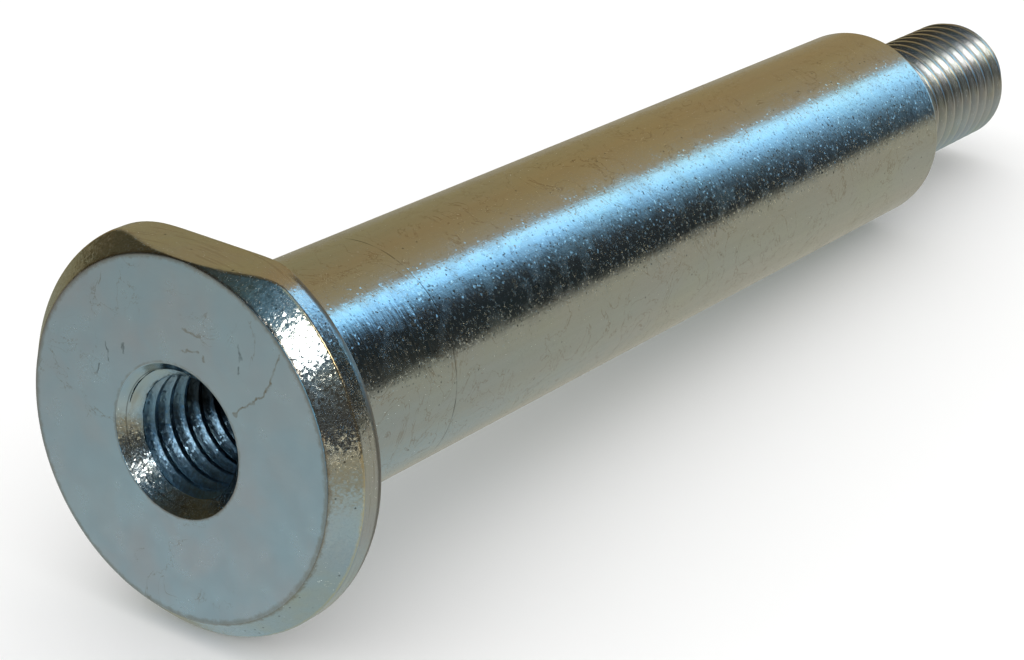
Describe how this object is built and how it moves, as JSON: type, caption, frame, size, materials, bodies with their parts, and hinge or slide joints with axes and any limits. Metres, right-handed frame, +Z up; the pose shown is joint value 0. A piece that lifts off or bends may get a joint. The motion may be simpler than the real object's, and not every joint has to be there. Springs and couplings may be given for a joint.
{
  "type": "pivot pin",
  "caption": "Headed pivot pin turned from steel bar: chamfered flange head with one flat and a tapped hole, plain shank, threaded stud.",
  "frame": {"origin": "centre of the head's seat, on the pin's axis", "axes": "+X runs from the head towards the stud along the floor, +Z is up, and the pin's axis dips 3.71 degrees below +X so that the pin lies on its head's rim and its shank's far edge, flat side of the head up"},
  "size_m": [0.1187, 0.03, 0.0285],
  "materials": {
    "zinc_plated_steel": "bright zinc plate over turned steel"
  },
  "bodies": {
    "root": {"pin": "zinc_plated_steel"}
  },
  "joints": []
}
